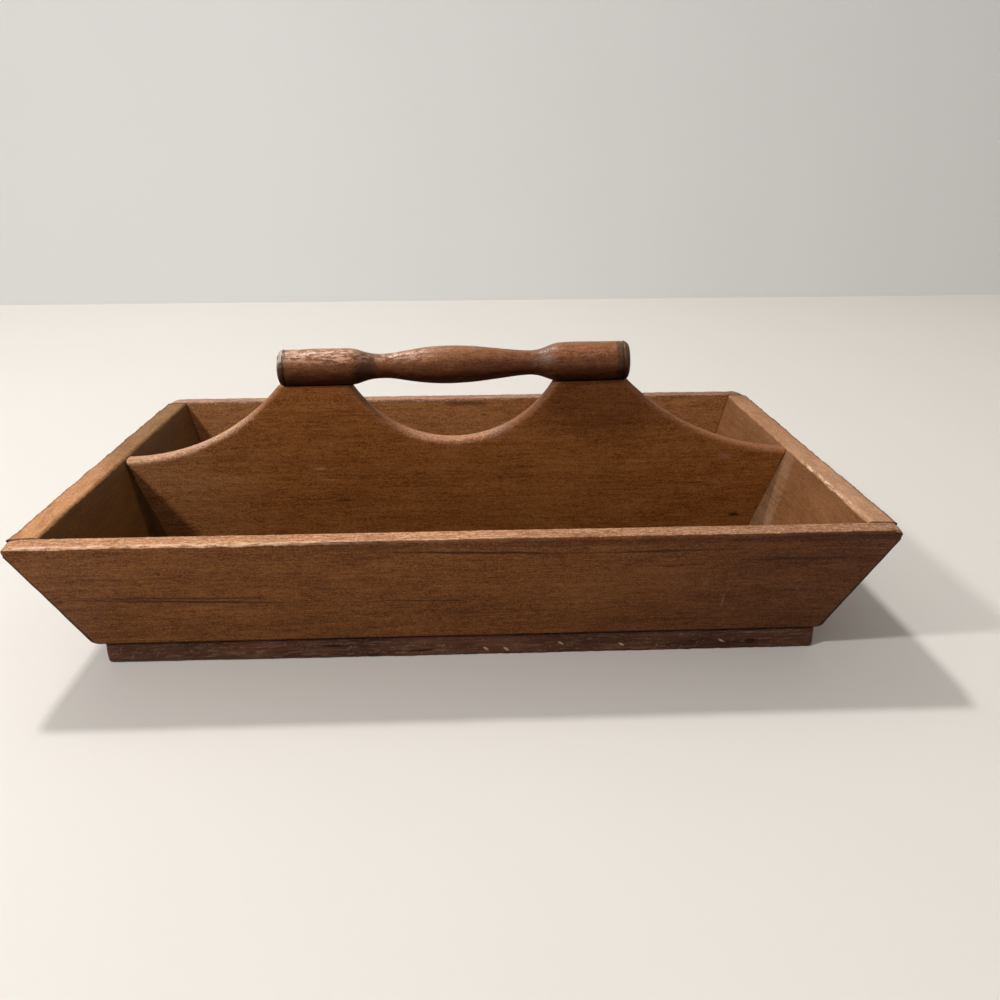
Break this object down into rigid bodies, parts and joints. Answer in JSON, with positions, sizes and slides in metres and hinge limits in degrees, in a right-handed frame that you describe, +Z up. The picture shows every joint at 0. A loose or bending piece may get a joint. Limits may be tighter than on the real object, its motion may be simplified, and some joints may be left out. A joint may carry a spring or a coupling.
{
  "type": "wooden cutlery tote",
  "caption": "Splayed wooden tray in two compartments, with a shaped middle board that carries a turned handle over a crescent hand hole.",
  "frame": {"origin": "on the ground under the middle of the rim", "axes": "+X along the tote and its handle, +Y towards the back board, +Z up"},
  "size_m": [0.4046, 0.259, 0.1351],
  "materials": {
    "side_wood": "old waxed hardwood, worn pale along the rim",
    "bottom_wood": "rough dark hardwood, scratched",
    "divider_wood": "old waxed hardwood, edges rubbed",
    "handle_wood": "turned hardwood polished by hands",
    "dowel_wood": "bare wood",
    "nail_iron": "dark oxidised iron"
  },
  "bodies": {
    "root": {"bottom_board": "bottom_wood", "front_board": "side_wood", "back_board": "side_wood", "left_end": "side_wood", "right_end": "side_wood", "divider": "divider_wood", "handle": "handle_wood", "handle_dowel_left": "dowel_wood", "handle_dowel_right": "dowel_wood", "corner_brad_front_left_1": "nail_iron", "corner_brad_front_left_2": "nail_iron", "corner_brad_front_left_3": "nail_iron", "corner_brad_front_right_1": "nail_iron", "corner_brad_front_right_2": "nail_iron", "corner_brad_front_right_3": "nail_iron", "corner_brad_back_left_1": "nail_iron", "corner_brad_back_left_2": "nail_iron", "corner_brad_back_left_3": "nail_iron", "corner_brad_back_right_1": "nail_iron", "corner_brad_back_right_2": "nail_iron", "corner_brad_back_right_3": "nail_iron", "bottom_nail_front_1": "nail_iron", "bottom_nail_front_2": "nail_iron", "bottom_nail_front_3": "nail_iron", "bottom_nail_front_4": "nail_iron", "bottom_nail_back_1": "nail_iron", "bottom_nail_back_2": "nail_iron", "bottom_nail_back_3": "nail_iron", "bottom_nail_back_4": "nail_iron", "bottom_nail_left_1": "nail_iron", "bottom_nail_left_2": "nail_iron", "bottom_nail_right_1": "nail_iron", "bottom_nail_right_2": "nail_iron", "divider_nail_left_1": "nail_iron", "divider_nail_left_2": "nail_iron", "divider_nail_right_1": "nail_iron", "divider_nail_right_2": "nail_iron", "divider_nail_bottom_1": "nail_iron", "divider_nail_bottom_2": "nail_iron", "divider_nail_bottom_3": "nail_iron"}
  },
  "joints": []
}
